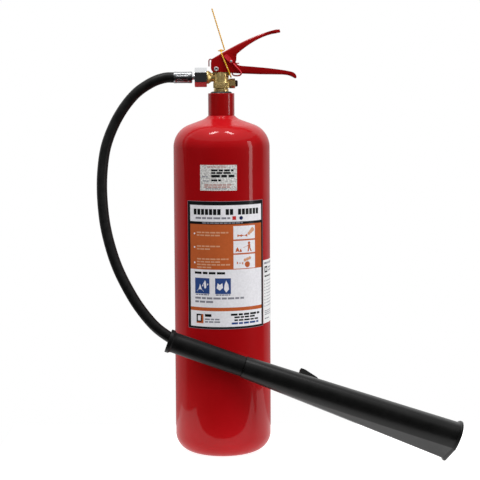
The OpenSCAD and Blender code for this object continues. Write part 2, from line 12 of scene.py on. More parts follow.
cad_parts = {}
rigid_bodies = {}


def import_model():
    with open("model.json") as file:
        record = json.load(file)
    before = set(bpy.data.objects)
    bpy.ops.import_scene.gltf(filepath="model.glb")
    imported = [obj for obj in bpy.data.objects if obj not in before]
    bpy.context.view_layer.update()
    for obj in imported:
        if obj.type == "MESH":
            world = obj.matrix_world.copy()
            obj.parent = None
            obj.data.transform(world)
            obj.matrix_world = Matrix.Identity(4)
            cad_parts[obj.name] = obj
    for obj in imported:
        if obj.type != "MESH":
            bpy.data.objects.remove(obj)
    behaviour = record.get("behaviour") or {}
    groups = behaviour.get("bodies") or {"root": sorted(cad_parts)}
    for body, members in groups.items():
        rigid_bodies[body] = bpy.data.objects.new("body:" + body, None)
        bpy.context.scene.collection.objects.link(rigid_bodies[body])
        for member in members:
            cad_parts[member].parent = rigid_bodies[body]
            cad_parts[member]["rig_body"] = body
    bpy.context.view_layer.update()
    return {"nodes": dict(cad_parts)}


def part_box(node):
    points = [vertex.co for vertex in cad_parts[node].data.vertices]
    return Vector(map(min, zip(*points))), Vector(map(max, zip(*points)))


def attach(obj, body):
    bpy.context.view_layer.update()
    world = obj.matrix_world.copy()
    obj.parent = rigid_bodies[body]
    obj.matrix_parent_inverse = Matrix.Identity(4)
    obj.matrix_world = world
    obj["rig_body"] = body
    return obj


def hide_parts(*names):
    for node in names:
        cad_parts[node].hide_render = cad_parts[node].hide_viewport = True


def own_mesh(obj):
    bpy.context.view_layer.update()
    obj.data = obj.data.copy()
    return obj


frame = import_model()

MM = 0.001

# places that come from the frame
VALVE_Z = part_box("neck_ring")[1].z
RING_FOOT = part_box("neck_ring")[0].z
OUTLET_Z = sum(c.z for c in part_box("swivel_nut")) / 2
BURST_Z = sum(c.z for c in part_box("burst_nut")) / 2
CYL_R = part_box("pressure_cylinder")[1].x

# driving sizes, as in the CAD source
HOSE_D = 16.5 * MM
FERRULE_D = 18.3 * MM
PIVOT = Vector((-7.3 * MM, 0, VALVE_Z + 38 * MM))
PIN_AT = Vector((16 * MM, 0, VALVE_Z + 49.6 * MM))
HORN_START = Vector((-0.082, -0.101, 0.1936))
HORN_SLOPE = math.radians(19.7)
GRIP_LEN = 122 * MM
HORN_LEN = 342 * MM

# the horn's own directions: along it, and down across it
HORN_AXIS = Vector((math.cos(HORN_SLOPE), 0, -math.sin(HORN_SLOPE)))
HORN_DOWN = Vector((-math.sin(HORN_SLOPE), 0, -math.cos(HORN_SLOPE)))

# the hose's centreline, from the valve's ferrule to the grip
HOSE_ROUTE = [
    (-.050, 0, .5935), (-.062, 0, .5935), (-.074, 0, .5935), (-.087, 0, .5933),
    (-.1025, -.001, .589), (-.1173, -.002, .5813), (-.1322, -.004, .5706), (-.146, -.006, .5558),
    (-.1578, -.010, .539), (-.1676, -.013, .5212), (-.1763, -.018, .5003), (-.182, -.024, .4794),
    (-.1852, -.031, .4534), (-.186, -.039, .4276), (-.1843, -.048, .3987), (-.1797, -.058, .3658),
    (-.171, -.0685, .3328), (-.1603, -.0775, .3036), (-.1457, -.0855, .2747), (-.1271, -.0925, .2448),
    (-.1046, -.0975, .2176), (-.085, -.0997, .2018), (-.0655, -.1008, .1906), (-.050, -.101, .1829),
    (-.034, -.101, .17645), (-.0095, -.101, .16764),
]


# ---------- node-tree helpers ----------

class Tree:
    """A material's node tree, with short calls for the nodes used here."""

    def __init__(self, name, color, roughness, metallic=0.0, **sockets):
        self.material = bpy.data.materials.new(name)
        self.material.use_nodes = True
        self.nodes = self.material.node_tree.nodes
        self.links = self.material.node_tree.links
        self.shader = self.nodes["Principled BSDF"]
        self.shader.inputs["Base Color"].default_value = (*color, 1)
        self.shader.inputs["Roughness"].default_value = roughness
        self.shader.inputs["Metallic"].default_value = metallic
        for key, value in sockets.items():
            self.shader.inputs[key.replace("_", " ")].default_value = value
        self.height = None

    def add(self, kind, **inputs):
        node = self.nodes.new(kind)
        for key, value in inputs.items():
            socket = node.inputs[key.replace("_", " ")]
            if isinstance(value, bpy.types.NodeSocket):
                self.links.new(value, socket)
            else:
                socket.default_value = value
        return node

    def place(self, scale=(1, 1, 1)):
        """Object coordinates in metres, stretched along each axis."""
        source = self.nodes.new("ShaderNodeTexCoord").outputs["Object"]
        return self.add("ShaderNodeMapping", Vector=source, Scale=scale).outputs["Vector"]

    def noise(self, scale, detail=3, stretch=(1, 1, 1)):
        node = self.add("ShaderNodeTexNoise", Vector=self.place(stretch), Scale=scale, Detail=detail)
        return node.outputs["Fac"]

    def vary_color(self, factor, low, high, start=0.3, stop=0.7):
        node = self.nodes.new("ShaderNodeValToRGB")
        self.links.new(factor, node.inputs["Fac"])
        for element, position, color in zip(node.color_ramp.elements, (start, stop), (low, high)):
            element.position = position
            element.color = (*color, 1)
        self.links.new(node.outputs["Color"], self.shader.inputs["Base Color"])

    def vary_roughness(self, factor, low, high):
        node = self.add("ShaderNodeMapRange", Value=factor, To_Min=low, To_Max=high)
        self.links.new(node.outputs["Result"], self.shader.inputs["Roughness"])

    def bump(self, factor, distance, strength=1.0):
        """Adds a layer of relief, distance deep in metres."""
        node = self.add("ShaderNodeBump", Height=factor, Distance=distance, Strength=strength)
        if self.height:
            self.links.new(self.height, node.inputs["Normal"])
        self.height = node.outputs["Normal"]
        self.links.new(self.height, self.shader.inputs["Normal"])


# ---------- materials ----------

def red_enamel():
    tree = Tree("red_enamel", (0.35, 0.002, 0.004), 0.4, Specular_IOR_Level=0.05, Coat_Weight=0.32,
                Coat_Roughness=0.06)
    tree.vary_color(tree.noise(9, 4), (0.31, 0.002, 0.003), (0.38, 0.003, 0.006))
    tree.vary_roughness(tree.noise(40), 0.35, 0.5)
    tree.bump(tree.noise(24, 2, (1, 1, 0.3)), 0.0010, 0.35)
    tree.bump(tree.noise(420, 2), 0.00005, 0.6)
    return tree.material


def handle_enamel():
    tree = Tree("handle_enamel", (0.26, 0.002, 0.003), 0.4, Specular_IOR_Level=0.1, Coat_Weight=0.5,
                Coat_Roughness=0.1)
    tree.vary_color(tree.noise(30, 3), (0.24, 0.001, 0.001), (0.30, 0.002, 0.003))
    tree.bump(tree.noise(300, 2), 0.00004, 0.4)
    return tree.material


def brass():
    tree = Tree("brass", (0.66, 0.48, 0.19), 0.32, 0.72)
    tree.vary_color(tree.noise(140, 4), (0.54, 0.38, 0.13), (0.84, 0.64, 0.28))
    tree.vary_roughness(tree.noise(300, 4), 0.24, 0.38)
    tree.bump(tree.noise(350, 3), 0.0003, 0.35)
    return tree.material


def chrome():
    tree = Tree("chrome", (0.62, 0.63, 0.64), 0.12, 1.0)
    tree.vary_roughness(tree.noise(250, 4), 0.08, 0.24)
    tree.bump(tree.noise(500, 2), 0.00003, 0.5)
    return tree.material


def plated_steel():
    """Drawn sleeve with a bright plate: faint streaks along the hose."""
    tree = Tree("plated_steel", (0.5, 0.51, 0.52), 0.25, 1.0)
    tree.vary_color(tree.noise(260, 3, (0.12, 1, 1)), (0.13, 0.135, 0.14), (0.42, 0.43, 0.44))
    tree.vary_roughness(tree.noise(500, 4), 0.2, 0.4)
    tree.bump(tree.noise(500, 2, (0.2, 1, 1)), 0.0001, 0.5)
    return tree.material


def zinc_steel():
    tree = Tree("zinc_steel", (0.72, 0.73, 0.74), 0.28, 0.7)
    tree.vary_color(tree.noise(350, 4), (0.6, 0.61, 0.62), (0.85, 0.86, 0.87))
    tree.vary_roughness(tree.noise(500, 4), 0.2, 0.4)
    return tree.material


def copper():
    tree = Tree("copper", (0.7, 0.36, 0.2), 0.3, 1.0)
    tree.vary_roughness(tree.noise(400), 0.2, 0.4)
    return tree.material


def hose_rubber():
    tree = Tree("hose_rubber", (0.005, 0.005, 0.005), 0.38, Specular_IOR_Level=0.16)
    tree.vary_color(tree.noise(120, 5), (0.003, 0.003, 0.003), (0.007, 0.007, 0.0068))
    tree.vary_roughness(tree.noise(180, 4), 0.34, 0.52)
    tree.bump(tree.noise(1500, 2), 0.00006, 0.6)
    return tree.material


def seal_rubber():
    tree = Tree("seal_rubber", (0.012, 0.012, 0.012), 0.55)
    tree.vary_roughness(tree.noise(600), 0.45, 0.65)
    return tree.material


def scaled(color, share):
    """The colour with each part times share, and no part over 1."""
    return tuple(min(1, share * c) for c in color)


def black_moulding(name, color, roughness, grain, gloss=0.14):
    tree = Tree(name, color, roughness, Specular_IOR_Level=gloss)
    tree.vary_color(tree.noise(70, 5), scaled(color, 0.8), scaled(color, 1.25))
    tree.vary_roughness(tree.noise(140, 4), roughness - 0.05, roughness + 0.07)
    tree.bump(tree.noise(1400, 2), grain, 0.7)
    return tree.material


def bright_plastic(name, color, roughness=0.3):
    tree = Tree(name, color, roughness, Coat_Weight=0.3, Coat_Roughness=0.12, Subsurface_Weight=0.08,
                Subsurface_Scale=0.002)
    tree.vary_color(tree.noise(260, 4), scaled(color, 0.82), scaled(color, 1.12))
    tree.bump(tree.noise(900, 2), 0.00005, 0.5)
    return tree.material


def film(name, color):
    """Printed self-adhesive film: a faint mottle under a soft gloss."""
    tree = Tree(name, color, 0.34, Specular_IOR_Level=0.1, Coat_Weight=0.1, Coat_Roughness=0.15)
    tree.vary_color(tree.noise(300, 4), scaled(color, 0.93), scaled(color, 1.04))
    tree.bump(tree.noise(90, 3), 0.0001, 0.25)
    return tree.material


def silver_film():
    tree = Tree("silver_film", (0.75, 0.74, 0.73), 0.4, 0.1)
    tree.vary_color(tree.noise(420, 5), (0.5, 0.49, 0.48), (0.92, 0.91, 0.89), 0.38, 0.62)
    tree.bump(tree.noise(260, 3), 0.0001, 0.3)
    return tree.material


M = {
    "red": red_enamel(), "handle": handle_enamel(), "brass": brass(), "chrome": chrome(),
    "plated": plated_steel(), "steel": zinc_steel(), "copper": copper(), "hose": hose_rubber(),
    "seal": seal_rubber(),
    "grip": black_moulding("grip_plastic", (0.004, 0.004, 0.004), 0.42, 0.00006),
    "horn": black_moulding("horn_plastic", (0.005, 0.005, 0.0049), 0.33, 0.00005, 0.2),
    "horn_inside": black_moulding("horn_inside", (0.01, 0.01, 0.01), 0.6, 0.00008),
    "cap": black_moulding("cap_plastic", (0.02, 0.012, 0.012), 0.25, 0.00003),
    "red_plastic": bright_plastic("red_plastic", (0.62, 0.02, 0.035)),
    "yellow": bright_plastic("yellow_plastic", (0.80, 0.42, 0.02)),
    "washer": bright_plastic("washer_plastic", (0.75, 0.73, 0.66), 0.5),
    "film_silver": silver_film(),
}

# the films and inks of the labels, which differ only in colour
INKS = {
    "film_pale": (0.86, 0.85, 0.89), "film_white": (0.82, 0.82, 0.82), "ink_black": (0.008, 0.009, 0.010),
    "ink_orange": (0.52, 0.115, 0.032), "ink_blue": (0.03, 0.07, 0.24), "ink_navy": (0.012, 0.02, 0.09),
    "ink_red": (0.55, 0.03, 0.03), "ink_grey": (0.24, 0.24, 0.28), "ink_peach": (0.66, 0.34, 0.2),
    "ink_rose": (0.5, 0.27, 0.24),
}
M.update({name: film(name, color) for name, color in INKS.items()})


# ---------- mesh helpers ----------

def finish_piece(obj, node):
    """Puts a finished piece on its CAD node's body, in place of the node."""
    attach(obj, frame["nodes"][node]["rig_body"])
    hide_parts(node)


def placed(name, data):
    obj = bpy.data.objects.new(name, data)
    bpy.context.scene.collection.objects.link(obj)
    return obj


def new_object(name, mesh, looks):
    """An object of a mesh, with the materials that M has under these names."""
    for look in looks:
        mesh.materials.append(M[look])
    return placed(name, mesh)


def mesh_piece(name, verts, faces, looks, sharp_angle=30):
    mesh = bpy.data.meshes.new(name)
    mesh.from_pydata([tuple(v) for v in verts], [], faces)
    mesh.validate()
    bm = bmesh.new()
    bm.from_mesh(mesh)
    bmesh.ops.remove_doubles(bm, verts=bm.verts, dist=1e-7)
    bmesh.ops.recalc_face_normals(bm, faces=bm.faces)
    smooth_shade(bm, sharp_angle)
    bm.to_mesh(mesh)
    bm.free()
    return new_object(name, mesh, looks)


def smooth_shade(bm, sharp_angle):
    limit = math.radians(sharp_angle)
    for face in bm.faces:
        face.smooth = True
    for edge in bm.edges:
        edge.smooth = not (len(edge.link_faces) == 2 and edge.calc_face_angle(0) > limit)


def rounded(points, radius, steps=4):
    """A 2D polyline with its inner corners rounded. A third number in a point is its own radius."""
    out = []
    for i, p in enumerate(points):
        r = p[2] if len(p) > 2 else radius
        p = Vector(p[:2])
        if i in (0, len(points) - 1) or r <= 0:
            out.append(p)
            continue
        a = Vector(points[i - 1][:2]) - p
        b = Vector(points[i + 1][:2]) - p
        if a.length < 1e-9 or b.length < 1e-9:
            out.append(p)
            continue
        cut = min(r, 0.45 * a.length, 0.45 * b.length)
        start, end = p + a.normalized() * cut, p + b.normalized() * cut
        out += [start.lerp(p, t / steps).lerp(p.lerp(end, t / steps), t / steps) for t in range(steps + 1)]
    return out


def section_mm(points, radius):
    """A rounded profile from points and a corner radius in millimetres."""
    return rounded([tuple(c * MM for c in p) for p in points], radius * MM)


def band(first, second):
    """The quads between two rings that have as many points each."""
    turn = [(k, (k + 1) % len(first)) for k in range(len(first))]
    return [(first[k], first[n], second[n], second[k]) for k, n in turn]


def lathe(name, profile, origin, axis, looks, segments, radius_at=None, closed=False, sharp_angle=30):
    """Turns a profile of (radius, height) round an axis. radius_at(r, h, angle) may shape it out of round."""
    axis = Vector(axis).normalized()
    side = axis.cross(Vector((0, 1, 0))).normalized() if abs(axis.y) < 0.9 else Vector((1, 0, 0))
    other = axis.cross(side)
    verts, rings = [], []
    for r, h in profile:
        if r < 1e-7:
            rings.append([len(verts)] * segments)
            verts.append(origin + axis * h)
            continue
        rings.append(list(range(len(verts), len(verts) + segments)))
        for k in range(segments):
            angle = 2 * math.pi * k / segments
            shaped = radius_at(r, h, angle) if radius_at else r
            verts.append(origin + axis * h + shaped * (math.cos(angle) * side + math.sin(angle) * other))
    pairs = list(zip(rings, rings[1:])) + ([(rings[-1], rings[0])] if closed else [])
    faces = []
    for low, high in pairs:
        for quad in band(low, high):
            face = [v for i, v in enumerate(quad) if v != quad[i - 1]]
            if len(face) > 2:
                faces.append(face)
    return mesh_piece(name, verts, faces, looks, sharp_angle)


def hex_radius(flats):
    """Keeps a turned profile inside a hexagon with this width across its flats."""
    def at(r, h, angle):
        turned = angle % (math.pi / 3) - math.pi / 6
        return min(r, flats / 2 / math.cos(turned))
    return at


def spline_points(points, per_step):
    """A smooth curve through the points (Catmull-Rom)."""
    pts = [Vector(p) for p in points]
    pts = [2 * pts[0] - pts[1]] + pts + [2 * pts[-1] - pts[-2]]
    out = []
    for a, b, c, d in zip(pts, pts[1:], pts[2:], pts[3:]):
        for i in range(per_step):
            t = i / per_step
            out.append(0.5 * (2 * b + (c - a) * t + (2 * a - 5 * b + 4 * c - d) * t ** 2
                              + (3 * b - a - 3 * c + d) * t ** 3))
    return out + [pts[-2]]


def tube_mesh(bm, points, radius, sides):
    """Adds a closed tube along points to a bmesh."""
    last = Vector((0, 1, 0))
    rings = []
    for i, p in enumerate(points):
        t = (points[min(i + 1, len(points) - 1)] - points[max(i - 1, 0)]).normalized()
        last = (last - last.dot(t) * t).normalized()
        up = t.cross(last)
        rings.append([bm.verts.new(p + radius * (math.cos(a) * last + math.sin(a) * up))
                      for a in (2 * math.pi * k / sides for k in range(sides))])
    for a, b in zip(rings, rings[1:]):
        for quad in band(a, b):
            bm.faces.new(quad)
    bm.faces.new(rings[0][::-1])
    bm.faces.new(rings[-1])


def bmesh_piece(name, bm, looks, sharp_angle=30):
    bmesh.ops.recalc_face_normals(bm, faces=bm.faces)
    smooth_shade(bm, sharp_angle)
    mesh = bpy.data.meshes.new(name)
    bm.to_mesh(mesh)
    bm.free()
    return new_object(name, mesh, looks)


FLAT_ANGLE = math.radians(0.6)
HARD_ANGLE = math.radians(35)
MOST_SIDES = 12


def cad_copy(node, name, looks, width, bend=None, bend_width=0.0):
    """A copy of a CAD node's mesh with its hard edges rounded.

    bend(edge) picks the edges that get a wide rounding first."""
    bm = bmesh.new()
    bm.from_mesh(frame["nodes"][node].data)
    bmesh.ops.remove_doubles(bm, verts=bm.verts, dist=2e-6)
    bmesh.ops.dissolve_limit(bm, angle_limit=FLAT_ANGLE, verts=bm.verts, edges=bm.edges)

    def hard_edges(shortest):
        return [e for e in bm.edges if len(e.link_faces) == 2 and e.calc_face_angle(0) > HARD_ANGLE
                and e.calc_length() > shortest]

    if bend:
        bmesh.ops.bevel(bm, geom=[e for e in hard_edges(0) if bend(e)], offset=bend_width, segments=6,
                        profile=0.5, affect="EDGES", clamp_overlap=False, loop_slide=False)
        bmesh.ops.triangulate(bm, faces=[f for f in bm.faces if len(f.verts) > MOST_SIDES])
        bmesh.ops.dissolve_limit(bm, angle_limit=FLAT_ANGLE, verts=bm.verts, edges=bm.edges)
    weight = bm.edges.layers.float.new("bevel_weight_edge")
    for edge in hard_edges(0.8 * MM):
        edge[weight] = 1
    mesh = bpy.data.meshes.new(name)
    bm.to_mesh(mesh)
    bm.free()
    obj = new_object(name, mesh, looks)
    bevel = obj.modifiers.new("rounding", "BEVEL")
    bevel.limit_method = "WEIGHT"
    bevel.width = width
    bevel.segments = 3
    bevel.miter_outer = "MITER_ARC"
    bpy.context.view_layer.update()
    result = bpy.data.meshes.new_from_object(obj.evaluated_get(bpy.context.evaluated_depsgraph_get()))
    obj.modifiers.clear()
    obj.data = result
    bm = bmesh.new()
    bm.from_mesh(result)
    bmesh.ops.remove_doubles(bm, verts=bm.verts, dist=1e-6)
    smooth_shade(bm, 32)
    bm.to_mesh(result)
    bm.free()
    return obj


# ---------- camera and hose ----------

def camera():
    """A long lens in front, a little above the middle, with a small downward shift."""
    pitch, roll = math.radians(4.512), math.radians(-0.328)
    forward = Vector((0, math.cos(pitch), -math.sin(pitch)))
    right = Vector((1, 0, 0))
    up = right.cross(forward)
    right, up = (math.cos(roll) * right + math.sin(roll) * up,
                 math.cos(roll) * up - math.sin(roll) * right)
    data = bpy.data.cameras.new("camera")
    data.sensor_width = 36
    data.lens = 104.625
    data.shift_y = -0.1
    obj = placed("camera", data)
    turn = Matrix((right, up, -forward)).transposed().to_4x4()
    obj.matrix_world = Matrix.Translation((0.0287, -2.203, 0.586)) @ turn
    bpy.context.scene.camera = obj


camera()


def hose():
    points = spline_points(HOSE_ROUTE, 4)
    data = bpy.data.curves.new("rubber_hose", "CURVE")
    data.dimensions = "3D"
    data.bevel_depth = HOSE_D / 2
    data.bevel_resolution = 10
    data.use_fill_caps = True
    spline = data.splines.new("POLY")
    spline.points.add(len(points) - 1)
    for target, p in zip(spline.points, points):
        target.co = (*p, 1)
    spline.use_smooth = True
    obj = placed("rubber_hose", data)
    data.materials.append(M["hose"])
    length = sum((b - a).length for a, b in zip(points, points[1:]))
    finish_piece(obj, "hose")
    return obj, length


hose_piece, hose_length = hose()


# ---------- cylinder and neck ----------

HEEL_R = 28 * MM
SIDE_TOP = RING_FOOT - 50 * MM
SHOULDER_R = 38 * MM
SHOULDER_END = math.radians(70)
CONE_SLOPE = math.radians(20)
FILLET_R = 26 * MM
FILLET_START = 31 * MM


def arc(centre, r, start, stop, steps):
    return [(centre[0] + r * math.cos(a), centre[1] + r * math.sin(a))
            for a in (start + (stop - start) * i / steps for i in range(steps + 1))]


def bottle_profile(inset):
    """Half section of the cylinder from its heel to the foot of the neck, moved in by inset."""
    heel = arc((CYL_R - HEEL_R, HEEL_R), HEEL_R - inset, -math.pi / 2, 0, 14)
    shoulder = arc((CYL_R - SHOULDER_R, SIDE_TOP), SHOULDER_R - inset, 0, SHOULDER_END, 20)
    edge = shoulder[-1]
    cone_at = lambda r: edge[1] + (edge[0] - r) * math.tan(CONE_SLOPE)
    start = (FILLET_START, cone_at(FILLET_START))
    centre = (start[0] + FILLET_R * math.sin(CONE_SLOPE), start[1] + FILLET_R * math.cos(CONE_SLOPE))
    low = -math.pi / 2 - CONE_SLOPE
    turn = math.acos((centre[0] - 20.2 * MM) / FILLET_R)
    fillet = arc(centre, FILLET_R, low, -math.pi + turn, 10) if inset == 0 else []
    side = [(CYL_R - inset, HEEL_R + (SIDE_TOP - HEEL_R) * i / 24) for i in range(1, 24)]
    return heel + side + shoulder + fillet


def pressure_cylinder():
    dish_edge, dish_h = 42 * MM, 12 * MM
    sphere_r = (dish_edge ** 2 + dish_h ** 2) / (2 * dish_h)
    half = math.asin(dish_edge / sphere_r)
    dish = [(sphere_r * math.sin(half * i / 12), dish_h - sphere_r + sphere_r * math.cos(half * i / 12))
            for i in range(13)]
    neck_r, bore_r, wall = 18 * MM, 12.9 * MM, 4.5 * MM
    neck = [(neck_r, RING_FOOT + 1 * MM), (neck_r, VALVE_Z - 1.5 * MM), (neck_r - 1 * MM, VALVE_Z - 0.5 * MM),
            (bore_r, VALVE_Z - 0.5 * MM), (bore_r, RING_FOOT - 12 * MM)]
    profile = dish + bottle_profile(0) + neck + bottle_profile(wall)[::-1] + [(0, dish_h + 8 * MM)]
    piece = lathe("steel_cylinder", profile, Vector((0, 0, 0)), (0, 0, 1), ["red"], 192, sharp_angle=40)
    finish_piece(piece, "pressure_cylinder")


def neck_ring():
    outer, inner = 20.75, 18.05
    height = (VALVE_Z - RING_FOOT) / MM
    profile = section_mm([
        (inner, 1), (inner, 0), (outer - 0.4, 0, 0.3), (outer, 1.2, 0.6), (outer, height, 1.4),
        (inner + 0.4, height, 0.3), (inner, height - 1)
    ], 0.3)
    piece = lathe("collar_ring", profile, Vector((0, 0, RING_FOOT)), (0, 0, 1), ["handle"], 128,
                  closed=True)
    finish_piece(piece, "neck_ring")


def neck_seal():
    profile = section_mm([(12.9, 0.1), (17.1, 0.05, 0.5), (16.6, 1.2), (14.7, 2.5, 0.6), (12.9, 2.6)], 0.4)
    piece = lathe("seal_collar", profile, Vector((0, 0, VALVE_Z)), (0, 0, 1), ["seal"], 96, closed=True)
    finish_piece(piece, "neck_seal")


# ---------- valve ----------

def block_frames():
    """Raised rims round the flat faces of the valve's square block, with three plain bars inside."""
    bm = bmesh.new()
    face_y, foot, half, tall, rim = 12.35, 8.7, 8.6, 7.2, 0.9
    for side in (-1, 1):
        out = side * (face_y + 0.35)
        deep = side * (face_y - 0.6)
        low, high = min(out, deep), max(out, deep)
        for x0, x1, z0, z1 in ((-half, half, foot, foot + rim), (-half, half, foot + tall - rim, foot + tall),
                               (-half, -half + rim, foot, foot + tall), (half - rim, half, foot, foot + tall),
                               (-5.6, -2.4, 11.2, 13.4), (-1.6, 1.6, 11.2, 13.4), (2.4, 5.6, 11.2, 13.4)):
            add_box(bm, *on_valve([(x0, low, z0), (x1, high, z1)]))
    bevelled(bm, 0.22 * MM)
    return bm


def valve():
    body = cad_copy("valve_body", "brass_valve", ["brass"], 0.55 * MM)
    bm = block_frames()
    bm.from_mesh(body.data)
    smooth_shade(bm, 32)
    bm.to_mesh(body.data)
    bm.free()
    finish_piece(body, "valve_body")
    burst = cad_copy("burst_nut", "burst_hexagon", ["brass"], 0.4 * MM)
    finish_piece(burst, "burst_nut")
    origin = Vector((0, 0, BURST_Z))
    foot, top = (c.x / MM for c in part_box("burst_cap"))
    r = 5.1

    def ribbed(radius, h, angle):
        """Fine grip ribs round the cap's rim."""
        depth = 0.03 * max(0, math.cos(18 * angle)) if radius > 4.6 * MM else 0
        return radius * (1 - depth)

    profile = section_mm([(0, foot), (r, foot), (r, top - 1.2, 0.8), (r - 1.3, top, 0.6), (1.6, top, 0.1),
                          (1.3, top - 0.8), (0, top - 0.8)], 0.3)
    cap = lathe("burst_plug", profile, origin, (1, 0, 0), ["cap"], 144, ribbed)
    finish_piece(cap, "burst_cap")
    gland = cad_copy("stem_gland", "gland_nut", ["brass"], 0.3 * MM)
    finish_piece(gland, "stem_gland")


# ---------- outlet fittings ----------

def swivel_nut():
    low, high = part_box("swivel_nut")
    length = high.x - low.x
    flats, corner = 27 * MM, 15.4 * MM
    chamfer, bore = 1.6 * MM, 10 * MM
    stations = [corner - chamfer + chamfer * math.sin(math.pi / 2 * i / 8) for i in range(9)]
    ends = [chamfer * 0.55 * (1 - math.cos(math.pi / 2 * i / 8)) for i in range(9)]
    profile = [(bore, 0)] + list(zip(stations, ends))
    profile += [(corner, length * i / 10) for i in range(1, 10)]
    profile += [(r, length - h) for r, h in zip(reversed(stations), reversed(ends))]
    profile += [(4.3 * MM, length), (4.3 * MM, length - 2.7 * MM), (bore, length - 2.7 * MM)]
    origin = Vector((high.x, 0, OUTLET_Z))
    piece = lathe("swivel_hex_nut", profile, origin, (-1, 0, 0), ["chrome"], 180, hex_radius(flats),
                  closed=True, sharp_angle=22)
    finish_piece(piece, "swivel_nut")


def crimped(length):
    """Radius of a crimped sleeve: eight pressed flats along the middle, with a bead at each end."""
    def at(r, h, angle):
        if r < 8.5 * MM:
            return r
        rise = lambda a, b, x: max(0.0, min(1.0, (x - a) / (b - a)))
        zone = rise(5 * MM, 7 * MM, h) * (1 - rise(length - 5 * MM, length - 3 * MM, h))
        flat = (1 - abs(math.cos(4 * angle))) ** 1.5
        return r - zone * (0.25 + 0.55 * flat) * MM
    return at


def ferrule(name, node, origin, axis, length):
    r, bore, neck, end = FERRULE_D / 2 / MM, HOSE_D / 2 / MM + 0.1, 4, length / MM
    profile = section_mm([(neck, 3.6), (neck, 0), (r - 1, 0, 0.6), (r, 1.2, 0.6)], 0.3)
    profile += [(r * MM, length * i / 40) for i in range(3, 39)]
    profile += section_mm([(r, end - 1), (r - 0.1, end, 0.4), (bore, end, 0.2), (bore, 3.6)], 0.2)
    piece = lathe(name, profile, origin, axis, ["plated"], 128, crimped(length), closed=True,
                  sharp_angle=25)
    finish_piece(piece, node)


def hose_ends():
    low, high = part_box("ferrule_valve_end")
    ferrule("valve_ferrule", "ferrule_valve_end", Vector((high.x, 0, OUTLET_Z)), (-1, 0, 0), high.x - low.x)
    ferrule("horn_ferrule", "ferrule_horn_end", HORN_START + HORN_AXIS * 81 * MM, -HORN_AXIS, 30 * MM)
    # the neck of the hose tail between nut and ferrule, with its roll-formed groove
    tip, foot = (c.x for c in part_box("hose_tail"))
    length = (foot - tip) / MM
    neck, flange, bore = 4, 9.2, 2.5
    profile = section_mm([(bore, 0), (flange, 0, 0.5), (flange, 2.4, 0.5), (neck, 2.4), (neck, 6, 0.3),
                          (neck - 0.4, 6.6), (neck, 7.4, 0.3), (neck, length), (bore, length)], 0.3)
    piece = lathe("hose_tail_fitting", profile, Vector((foot, 0, OUTLET_Z)), (-1, 0, 0), ["steel"], 64,
                  closed=True)
    finish_piece(piece, "hose_tail")


# ---------- handles ----------

def handles():
    def outer_bend(half_width, top, start, stop):
        """Picks the long edges where the web turns down or up into the cheeks, between two places along X."""
        def pick(edge):
            a, b = (v.co for v in edge.verts)
            on_side = all(abs(abs(p.y) - half_width) < 0.2 * MM for p in (a, b))
            inside = min(a.x, b.x) > start and max(a.x, b.x) < stop and edge.calc_length() > 2 * MM
            up = sum(f.normal.z for f in edge.link_faces)
            return on_side and inside and (up > 0.5 if top else up < -0.75)
        return pick

    lever = cad_copy("squeeze_lever", "squeeze_lever_pressing", ["handle"], 0.45 * MM,
                     outer_bend(9.8 * MM, True, -14 * MM, 68 * MM), 2.8 * MM)
    finish_piece(lever, "squeeze_lever")
    carrier = cad_copy("carry_handle", "carry_handle_pressing", ["handle"], 0.45 * MM,
                       outer_bend(12.2 * MM, False, 12 * MM, 117 * MM), 2.2 * MM)
    finish_piece(carrier, "carry_handle")


def pivot_rivet():
    """Tubular rivet with a rolled rim at each end."""
    low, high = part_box("pivot_rivet")
    half = (high.y - low.y) / 2 / MM
    sheet_out, shank, rim, bore = 12.25, 2.5, 3.7, 1.8
    upper = section_mm([
        (0, half - 3.4), (bore, half - 3.4, 0.2), (bore, half - 0.8, 0.5), (bore + 0.5, half - 0.1, 0.5),
        (rim - 0.5, half - 0.2, 0.5), (rim, sheet_out + 0.5, 0.5), (rim - 0.3, sheet_out, 0.2),
        (shank, sheet_out)
    ], 0.3)
    profile = upper + [Vector((r, -h)) for r, h in reversed(upper)]
    piece = lathe("tubular_rivet", profile, PIVOT, (0, 1, 0), ["steel"], 64)
    finish_piece(piece, "pivot_rivet")


# ---------- safety pin, tab, strap and seal ----------

def pin():
    low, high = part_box("safety_pin")
    r, length = 2, (high.y - low.y) / MM
    profile = section_mm([(0, 0), (r, 0, 0.9), (r, length - 1.8, 0.4), (1, length, 0.5), (0, length)], 0.3)
    rod = lathe("safety_pin_rod", profile, Vector((PIN_AT.x, low.y, PIN_AT.z)), (0, 1, 0), ["steel"], 48)
    finish_piece(rod, "safety_pin")
    tab = cad_copy("pin_tab", "pull_tab", ["red_plastic"], 0.6 * MM)
    finish_piece(tab, "pin_tab")


STRAP_ROUTE = [
    (19.3, -14.4, 46.4), (24, -14.4, 41), (29, -14.4, 35.5), (31.3, -14.2, 32.2), (31.4, -13.2, 29.9),
    (29.5, -9, 28), (25.5, -1, 27.2), (21, 7, 27.6), (18.2, 12.6, 29.2), (17.5, 14.2, 32), (17, 14.4, 38),
    (16.6, 14.4, 43), (16.3, 14.4, 46.4)
]
TIE_LOOP = [
    (0.2, -7, 66.3), (0.6, -11, 64.6), (1.2, -13.3, 61), (3.8, -13.8, 54.6), (7.9, -13.8, 44.6),
    (12, -13.8, 34.6), (14.8, -13.4, 27.6), (15.4, -10, 26), (15.5, 0, 25.4), (15.4, 10, 26),
    (14, 13.9, 28.6), (11, 14.2, 36), (7, 14.2, 46), (3.4, 14, 55), (1.2, 13.4, 61), (0.4, 10, 65),
    (0, 2, 67), (0, -4, 67)
]
TIE_TAIL = [(0, -7, 66.5), (3.4, -7, 66.6), (5.4, -7, 68.6), (4.6, -7, 72), (-4, -7, 100), (-13.6, -7, 132)]


